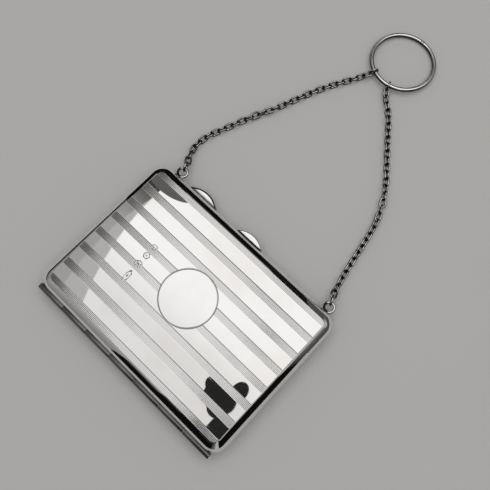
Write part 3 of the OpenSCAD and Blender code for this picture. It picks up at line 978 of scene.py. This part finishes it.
def placing(triangles):
    """Where a wire link or ring lies: its centre, its long axis first and its normal last."""
    centres = triangles.mean(axis=1)
    areas = np.linalg.norm(np.cross(triangles[:, 1] - triangles[:, 0],
                                    triangles[:, 2] - triangles[:, 0]), axis=1)
    middle = (centres * areas[:, None]).sum(axis=0) / areas.sum()
    away = centres - middle
    values, axes = np.linalg.eigh((away * areas[:, None]).T @ away)
    long_axis, normal = Vector(axes[:, 2]), Vector(axes[:, 0])
    turned = Matrix((long_axis, normal.cross(long_axis), normal)).transposed()
    return Matrix.Translation(Vector(middle)) @ turned.to_4x4()


def within(value):
    """A value held between 0 and 1."""
    return max(0.0, min(1.0, value))


def top_rub_and_painted_light(point):
    """Wear from rubbing with painted highlight on a piece: most on top."""
    return 0.5 + 0.5 * point.normal.z


def loop_rub_and_painted_light(point, centre):
    """Wear and painted highlight on top of a loop, painted shade on its side to the wall and the
    left end.
    """
    away = (point.co - centre).normalized()
    # painted shade on the side towards the wall and the left end
    painted_dark = within((-0.7 * away.x - 0.7 * away.y - 0.1) / 0.5)
    return 1.12 * top_rub_and_painted_light(point) * (1 - 0.3 * painted_dark)


def add_rub_and_painted_light(piece, rubbed_and_lit=top_rub_and_painted_light):
    """Stores, from 0 to 1, how bright each point is made by wear and painted highlight."""
    rub = piece.data.attributes.new("rub", "FLOAT", "POINT")
    rub.data.foreach_set("value", [within(rubbed_and_lit(v)) for v in piece.data.vertices])


def wire_ring(name, outer, wire, segments, around, **placed):
    """A ring of round wire, with its outer diameter and its numbers of steps."""
    return added(name, bpy.ops.mesh.primitive_torus_add, major_segments=segments,
                 minor_segments=around, major_radius=(outer - wire) / 2, minor_radius=wire / 2,
                 **placed)


def chain_link(name, length, width, wire):
    """Oval link: a ring whose halves are drawn apart along X."""
    piece = wire_ring(name, width, wire, 32, 14, rotation=(0, 0, math.pi / 32))
    edit(piece, "VERT")
    for side in (-1, 1):
        pick(piece, "verts", lambda v: side * v.co.x > 0)
        bpy.ops.transform.translate(value=(side * (length - width) / 2, 0, 0))
    done_editing()
    return piece


class CASE_OT_loops(bpy.types.Operator):
    """Builds the suspension loops with their solder"""
    bl_idname = "card_case.loops"
    bl_label = "Suspension loops"

    def execute(self, context):
        colours = scene_colours()
        silver = material_of("loop_silver", oxidised_material, colours, colours.blackened,
                             0.90, 0.98, 0.22)
        for side in ("left", "right"):
            node = side + "_suspension_loop"
            low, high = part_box(node)
            outer = high.x - low.x
            ring = wire_ring("loop_wire", outer, LOOP_WIRE, 72, 20)
            centre = Vector(((low.x + high.x) / 2, high.y - outer / 2, (low.z + high.z) / 2))
            ring.data.transform(Matrix.Translation(centre))
            solder = added("loop_solder", bpy.ops.mesh.primitive_uv_sphere_add, segments=32,
                           ring_count=16, radius=LOOP_WIRE * 0.72, scale=(1.5, 0.62, 0.86),
                           location=(centre.x, CASE_WIDTH / 2 + 0.35 * LOOP_WIRE, centre.z))
            edit(solder)
            bpy.ops.mesh.select_all(action="SELECT")
            bpy.ops.mesh.bisect(plane_co=(0, CASE_WIDTH / 2 + 0.02 * MM, 0), plane_no=(0, 1, 0),
                                clear_inner=True, use_fill=True)
            done_editing()
            piece = joined(node + "_soldered", [ring, solder])
            smoothed(piece, 50)
            # painted highlight on top, painted shade on the side towards the wall and the left end
            add_rub_and_painted_light(piece, lambda point: loop_rub_and_painted_light(point, centre))
            dressed(piece, silver, "case_back", "silver", node)
        return {"FINISHED"}


class CASE_OT_chain(bpy.types.Operator):
    """Builds the chain's links and jump rings where the frame has them"""
    bl_idname = "card_case.chain"
    bl_label = "Chain"

    def execute(self, context):
        colours = scene_colours()
        # links and jump rings are oxide-black, made bright on top by wear together with painted
        # highlight
        black = material_of("oxidised_silver", oxidised_material, colours, colours.blackened,
                            0.93, 1.0)
        worn = material_of("jump_silver", oxidised_material, colours, colours.blackened,
                           0.84, 0.98, 0.14, 0.15)
        link = chain_link("link_pattern", LINK_LENGTH, LINK_WIDTH, LINK_WIRE)
        jump = wire_ring("jump_pattern", JUMP_DIAMETER, JUMP_WIRE, 48, 14)
        for run, pattern, material, body in (("chain_lower", link, black, "chain_near"),
                                             ("chain_upper", link, black, "chain_far"),
                                             ("end_link", jump, worn, "chain_near"),
                                             ("ring_link", jump, worn, "chain_far")):
            for node in ("left_" + run, "right_" + run):
                copies = [copied(pattern, "%s_%d" % (node, k), placing(solid))
                          for k, solid in enumerate(parts_of(node))]
                piece = joined(node + "_wire", copies)
                smoothed(piece, 60)
                add_rub_and_painted_light(piece)
                dressed(piece, material, body, "dark_silver", node)
        for pattern in (link, jump):
            bpy.data.objects.remove(pattern)
        return {"FINISHED"}


# How far the ring's solder reaches, where on each side of the seam it stands proudest, how wide
# that swelling is, and by what share of the wire it rises
SOLDER_REACH = 2.2 * MM
SWELL_PLACE = 0.85 * MM
SWELL_WIDTH = 0.35 * MM
SWELL_RISE = 0.05


def swell_beside(seam, ring, centre, normal, major):
    """Thickens a ring's wire a little on both sides of its seam."""
    for point in ring.data.vertices:
        distance = (point.co - seam).length
        if distance < SOLDER_REACH:
            away = point.co - centre
            core = centre + (away - away.dot(normal) * normal).normalized() * major
            swell = 1 + SWELL_RISE * math.exp(-((distance - SWELL_PLACE) / SWELL_WIDTH) ** 2)
            point.co = core + (point.co - core) * swell


class CASE_OT_finger_ring(bpy.types.Operator):
    """Builds the finger ring with its solder seam"""
    bl_idname = "card_case.finger_ring"
    bl_label = "Finger ring"

    def execute(self, context):
        place = placing(parts_of("finger_ring")[0])
        low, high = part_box("finger_ring")
        ring = wire_ring("finger_ring_wire", high.x - low.x, RING_WIRE, 180, 28)
        ring.data.transform(place)
        centre = place.translation
        major = (high.x - low.x - RING_WIRE) / 2
        normal = place.to_3x3().col[2]
        outward = normal.cross(Vector((1, 0, 0))).normalized()
        if outward.y < 0:
            outward = -outward
        # the seam lies where the ring is farthest from the case
        seam = centre + major * outward
        swell_beside(seam, ring, centre, normal, major)
        smoothed(ring, 60)
        # made bright where the wire faces up or down, wear with painted highlight; its sides take
        # the dark colour below
        add_rub_and_painted_light(ring, lambda point: abs(point.normal.z))
        colours = scene_colours()
        # dark colour of the ring's sides: painted shade
        edge = tuple(0.09 * c for c in colours.tarnish)
        silver = material_of("ring_silver", oxidised_material, colours, edge, 0.66, 0.92,
                             0.10, 0.08, seam)
        dressed(ring, silver, "ring", "silver", "finger_ring")
        return {"FINISHED"}


# Linings

# Radius of the thumb notch in the pocket's mouth, and the stitches' distance from its edge and
# from each other
NOTCH_RADIUS = 9 * MM
STITCH_INSET = 1.5 * MM
STITCH_PITCH = 2.0 * MM


def board(name, low, high, radius, edge):
    """A lining board with rounded corners and softened edges."""
    size = high - low
    piece = added(name, bpy.ops.mesh.primitive_cube_add, size=1, location=(low + high) / 2,
                  scale=size)
    edit(piece, "EDGE")
    pick(piece, "edges", lambda e: abs(e.verts[0].co.z - e.verts[1].co.z) > size.z / 2)
    bpy.ops.mesh.bevel(offset=radius, segments=10, profile=0.5, affect="EDGES")
    done_editing()
    modified(piece, "BEVEL", width=edge, segments=4, limit_method="ANGLE",
             angle_limit=math.radians(50))
    smoothed(piece, 40)
    return piece


class CASE_OT_linings(bpy.types.Operator):
    """Builds the silk linings and the stitched leather pocket"""
    bl_idname = "card_case.linings"
    bl_label = "Linings and pocket"

    def execute(self, context):
        colours = scene_colours()
        silk = material_of("watered_silk", silk_material, colours)
        for node, body in (("back_lining", "case_back"), ("front_lining", "case_front")):
            low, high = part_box(node)
            piece = board(node + "_covered", low, high, 1.5 * MM, 0.22 * MM)
            dressed(piece, silk, body, "lining", node)
        low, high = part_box("card_pocket")
        pocket = board("card_pocket_panel", low, high, 1.2 * MM, 0.16 * MM)
        cut_away(pocket, added(
            "thumb_notch", bpy.ops.mesh.primitive_cylinder_add, vertices=96, radius=NOTCH_RADIUS,
            depth=6 * MM, location=(0, high.y + NOTCH_RADIUS / 2, (low.z + high.z) / 2)))
        modified(pocket, "BEVEL", width=0.1 * MM, segments=2, limit_method="ANGLE",
                 angle_limit=math.radians(60))
        smoothed(pocket, 40)
        dressed(pocket, material_of("pocket_leather", leather_material, colours), "case_front",
                "leather", "card_pocket")
        self.stitches(low, high, colours)
        return {"FINISHED"}

    def stitches(self, low, high, colours):
        """A row of stitches along the pocket's three closed edges."""
        pattern = added("stitch_pattern", bpy.ops.mesh.primitive_uv_sphere_add, segments=10,
                        ring_count=6, radius=0.5 * MM, scale=(1.25, 0.28, 0.2))
        left, right = low.x + STITCH_INSET, high.x - STITCH_INSET
        foot, mouth = low.y + STITCH_INSET, high.y - STITCH_INSET
        count = round((right - left) / STITCH_PITCH)
        spots = [(left + (right - left) * k / count, foot, 0.0) for k in range(count + 1)]
        count = round((mouth - foot) / STITCH_PITCH)
        for x in (left, right):
            spots += [(x, foot + (mouth - foot) * k / count, math.pi / 2)
                      for k in range(1, count + 1)]
        pieces = [copied(pattern, "stitch_%d" % k,
                         Matrix.Translation((x, y, low.z)) @ Matrix.Rotation(turn, 4, "Z"))
                  for k, (x, y, turn) in enumerate(spots)]
        bpy.data.objects.remove(pattern)
        seam = joined("pocket_stitches", pieces)
        smoothed(seam, 60)
        dressed(seam, material_of("silk_thread", thread_material, colours), "case_front", "leather")


# Stage

CAMERA_PLACE = Vector((38.80, -12.57, 229.26)) * MM
CAMERA_TARGET = Vector((-3.24, 39.04, 0.0)) * MM
CAMERA_ROLL = math.radians(4.36)
CAMERA_LENS = 46.72
CAMERA_SENSOR = 36
CAMERA_SHIFT = (-0.0225, -0.0458)
CAMERA_CLIP = 0.005

# Width of the floor, grey and strength of the world, and place, size and power of the fill lamp
FLOOR_WIDTH = 8
WORLD_GREY = (0.80, 0.80, 0.80, 1)
WORLD_STRENGTH = 0.55
FILL_PLACE = (0.0, 0.2, 1.6)
FILL_SIZE = (2.4, 2.4)
FILL_POWER = 27.0

# Two corners of the softbox, its grey as in the cards below, and how far its near left corner is
# drawn in
SOFTBOX_LOW = (-0.405, -0.66, 1.0)
SOFTBOX_HIGH = (0.75, 0.62, 1.0)
SOFTBOX_GREY = ("Y", -0.20, 0.12, 0.78, 0.97)
SOFTBOX_DRAWN_IN = 0.108

# What the silver shows beside the softbox: cards far off on all sides, and low ones near the two
# far corners of the case. Each has two corners in metres, then the axis along which its grey runs,
# where the run starts and ends, and its levels there
SILVER_CARDS = (
    ("far_softbox", (-0.48, 0.62, 1.0), (0.6, 1.4, 1.0), ("Y", 0, 1, 0.72, 0.72)),
    ("near_softbox", (-0.29, -1.3, 1.0), (-0.02, -0.66, 1.0), ("Y", 0, 1, 0.72, 0.72)),
    ("near_dark_card", (-0.02, -1.3, 1.0), (0.75, -0.66, 1.0), ("Y", 0, 1, 0.03, 0.03)),
    ("upper_left_card", (-2.0, -0.38, 1.03), (-0.39, 2.0, 1.03), ("Y", 0.46, 0.10, 0.02, 0.35)),
    ("lower_left_card", (-2.0, -2.0, 1.03), (-0.29, -0.38, 1.03), ("Y", -1, 0, 0.02, 0.02)),
    ("opening_card_left", (-0.31, 0.5, 0), (-0.238, 0.5, 0.50), ("Z", 0.40, 0.50, 0.004, 0.50)),
    ("opening_corner_card", (-0.238, 0.5, 0), (-0.213, 0.5, 0.60), ("Z", 0.42, 0.64, 0.004, 0.30)),
    ("opening_card", (-0.213, 0.5, 0), (-0.05, 0.5, 0.58), ("Z", 0.33, 0.47, 0.004, 0.42)),
    ("opening_card_right", (-0.05, 0.5, 0), (0.018, 0.5, 0.80), ("Z", 0.42, 0.84, 0.008, 0.42)),
    ("far_corner_card", (0.018, 0.5, 0), (0.75, 0.5, 0.50), ("X", 0.04, 0.36, 0.07, 0.42)),
    ("hinge_left_card", (-0.9, -0.5, 0), (-0.105, -0.5, 0.60), ("Z", 0.0, 0.6, 0.20, 0.33)),
    ("hinge_card_a", (-0.105, -0.5, 0), (-0.045, -0.5, 0.56), ("Z", 0.28, 0.56, 0.004, 0.40)),
    ("hinge_card_b", (-0.045, -0.5, 0), (-0.01, -0.5, 0.66), ("Z", 0.38, 0.80, 0.004, 0.42)),
    ("hinge_card_c", (-0.01, -0.5, 0), (0.28, -0.5, 0.72), ("Z", 0.50, 1.06, 0.004, 0.42)),
    ("near_corner_card", (0.28, -0.5, 0), (0.75, -0.5, 0.60), ("X", 0.36, 0.56, 0.08, 0.42)),
    ("right_near_card", (0.75, -0.44, 0), (0.75, 0.0, 1.0), ("Z", 0.68, 1.10, 0.004, 0.42)),
    ("right_end_card", (0.75, 0.0, 0), (0.75, 0.10, 0.84), ("Z", 0.60, 0.84, 0.004, 0.42)),
    ("right_far_card", (0.75, 0.10, 0), (0.75, 0.45, 0.58), ("Y", 0.07, 0.20, 0.004, 0.15)),
    ("left_end_card", (-0.5, -0.5, 0), (-0.5, 0.085, 0.50), ("Z", 0.10, 0.13, 0.004, 0.2)),
    ("left_corner_low_card", (-0.098, 0.018, 0), (-0.098, 0.088, 0.042), ("Z", 0, 1, 0.004, 0.004)),
    ("left_corner_far_card", (-0.098, 0.088, 0), (-0.054, 0.088, 0.042), ("Z", 0, 1, 0.004, 0.004)),
    ("right_corner_low_card", (0.098, 0.024, 0), (0.098, 0.088, 0.036), ("Z", 0, 1, 0.07, 0.07)),
    ("right_corner_far_card", (0.050, 0.088, 0), (0.098, 0.088, 0.036), ("Z", 0, 1, 0.07, 0.07)),
    ("camera_shadow_corner", (0.030, -0.30, 0.23), (0.14, -0.070, 0.23), ("X", -1, 0, 0.02, 0.02)),
)


# Middle and size in mm, and grey level, of the round shapes that show as dark patches near two
# corners of the cover, and their height over the table in metres
CAMERA_SHADOWS = ((17, -44, 16, 24, 0.02), (24, -50, 24, 44, 0.02), (31, -26, 11, 28, 0.02),
                  (27, -60, 15, 34, 0.02), (-115, 135, 52, 64, 0.11))
SHADOW_HEIGHT = 0.23


def shown_in_silver(card, shade, lamp=False):
    """Lets a card show only in reflections, or light the case too if it is a lamp."""
    card.data.materials.append(card_material(card.name, *shade))
    card.visible_camera = False
    card.visible_diffuse = lamp
    card.visible_shadow = False
    return card


def studio_card(name, low, high, axis, start, end, dark, light, lamp=False):
    """A flat upright or level card between two corners that the camera doesn't see."""
    low, high = Vector(low), Vector(high)
    card = added(name, bpy.ops.mesh.primitive_cube_add, size=1, location=(low + high) / 2,
                 scale=[max(1e-4, abs(v)) for v in high - low])
    return shown_in_silver(card, (axis, start, end, dark, light), lamp)


def area_light(name, centre, size, power):
    """A soft lamp facing down that doesn't show in reflections."""
    light = bpy.data.lights.new(name, "AREA")
    light.shape = "RECTANGLE"
    light.size, light.size_y = size
    light.energy = power
    lamp = bpy.data.objects.new(name, light)
    bpy.context.collection.objects.link(lamp)
    lamp.location = centre
    lamp.visible_glossy = False


class CASE_OT_stage(bpy.types.Operator):
    """Sets up the camera, the pale floor and the soft studio light"""
    bl_idname = "card_case.stage"
    bl_label = "Stage"

    def execute(self, context):
        self.camera(context)
        self.light(context.scene)
        for name, low, high, shade in SILVER_CARDS:
            studio_card(name, low, high, *shade)
        self.camera_shadows()
        context.scene.view_settings.view_transform = "Standard"
        return {"FINISHED"}

    def camera(self, context):
        """The photograph's camera, turned a little about its line of sight."""
        camera = bpy.data.objects.new("camera", bpy.data.cameras.new("camera"))
        context.collection.objects.link(camera)
        forward = (CAMERA_TARGET - CAMERA_PLACE).normalized()
        level_right = forward.cross(Vector((0, 0, 1))).normalized()
        right = Matrix.Rotation(-CAMERA_ROLL, 3, forward) @ level_right
        up = right.cross(forward)
        turned = Matrix((right, up, -forward)).transposed()
        camera.matrix_world = Matrix.Translation(CAMERA_PLACE) @ turned.to_4x4()
        camera.data.lens = CAMERA_LENS
        camera.data.sensor_width = CAMERA_SENSOR
        camera.data.shift_x, camera.data.shift_y = CAMERA_SHIFT
        camera.data.clip_start = CAMERA_CLIP
        context.scene.camera = camera

    def light(self, scene):
        """The pale floor, the grey world, the fill lamp, and the softbox with its cut corner."""
        floor = added("floor", bpy.ops.mesh.primitive_plane_add, size=FLOOR_WIDTH)
        floor.data.materials.append(material_of("floor_paper", floor_material, scene_colours()))
        world = bpy.data.worlds.new("studio")
        world.use_nodes = True
        background = next(n for n in world.node_tree.nodes if n.type == "BACKGROUND")
        background.inputs["Color"].default_value = WORLD_GREY
        background.inputs["Strength"].default_value = WORLD_STRENGTH
        scene.world = world
        area_light("fill", FILL_PLACE, FILL_SIZE, FILL_POWER)
        softbox = studio_card("softbox", SOFTBOX_LOW, SOFTBOX_HIGH, *SOFTBOX_GREY, lamp=True)
        edit(softbox, "VERT")
        pick(softbox, "verts", lambda v: v.co.x < 0 and v.co.y < 0)
        bpy.ops.transform.translate(value=(SOFTBOX_DRAWN_IN, 0, 0))
        done_editing()

    def camera_shadows(self):
        """Round shapes over the case that show as dark patches near two corners of its cover."""
        for k, (x, y, width, depth, level) in enumerate(CAMERA_SHADOWS):
            shape = added("camera_shadow_%d" % k, bpy.ops.mesh.primitive_circle_add, vertices=48,
                          radius=0.5, fill_type="NGON", location=(x * MM, y * MM, SHADOW_HEIGHT),
                          scale=(width * MM, depth * MM, 1))
            shown_in_silver(shape, ("X", -1, 0, level, level))


class CASE_PT_panel(bpy.types.Panel):
    """Lists the steps that build the card case"""
    bl_idname = "CASE_PT_panel"
    bl_label = "Card case"
    bl_space_type = "VIEW_3D"
    bl_region_type = "UI"
    bl_category = "Card case"

    def draw(self, context):
        layout = self.layout
        for step in STEPS:
            layout.operator(step.bl_idname)
        for group in (context.scene.case_sizes, context.scene.case_colours):
            for name in group.__annotations__:
                layout.prop(group, name)


STEPS = (CASE_OT_stage, CASE_OT_covers, CASE_OT_stamps, CASE_OT_hinge, CASE_OT_rim,
         CASE_OT_thumb_lugs, CASE_OT_loops, CASE_OT_chain, CASE_OT_finger_ring, CASE_OT_linings)
CLASSES = (CaseSizes, CaseColours) + STEPS + (CASE_PT_panel,)


def register():
    """Adds the panel, its steps and the values that a user may change."""
    for entry in CLASSES:
        bpy.utils.register_class(entry)
    bpy.types.Scene.case_sizes = bpy.props.PointerProperty(type=CaseSizes)
    bpy.types.Scene.case_colours = bpy.props.PointerProperty(type=CaseColours)


def unregister():
    """Takes away all that register adds."""
    del bpy.types.Scene.case_colours
    del bpy.types.Scene.case_sizes
    for entry in reversed(CLASSES):
        bpy.utils.unregister_class(entry)


def main():
    """Builds the case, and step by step."""
    register()
    for step in STEPS:
        group, name = step.bl_idname.split(".")
        getattr(getattr(bpy.ops, group), name)()
    deselect()


if __name__ == "__main__":
    main()
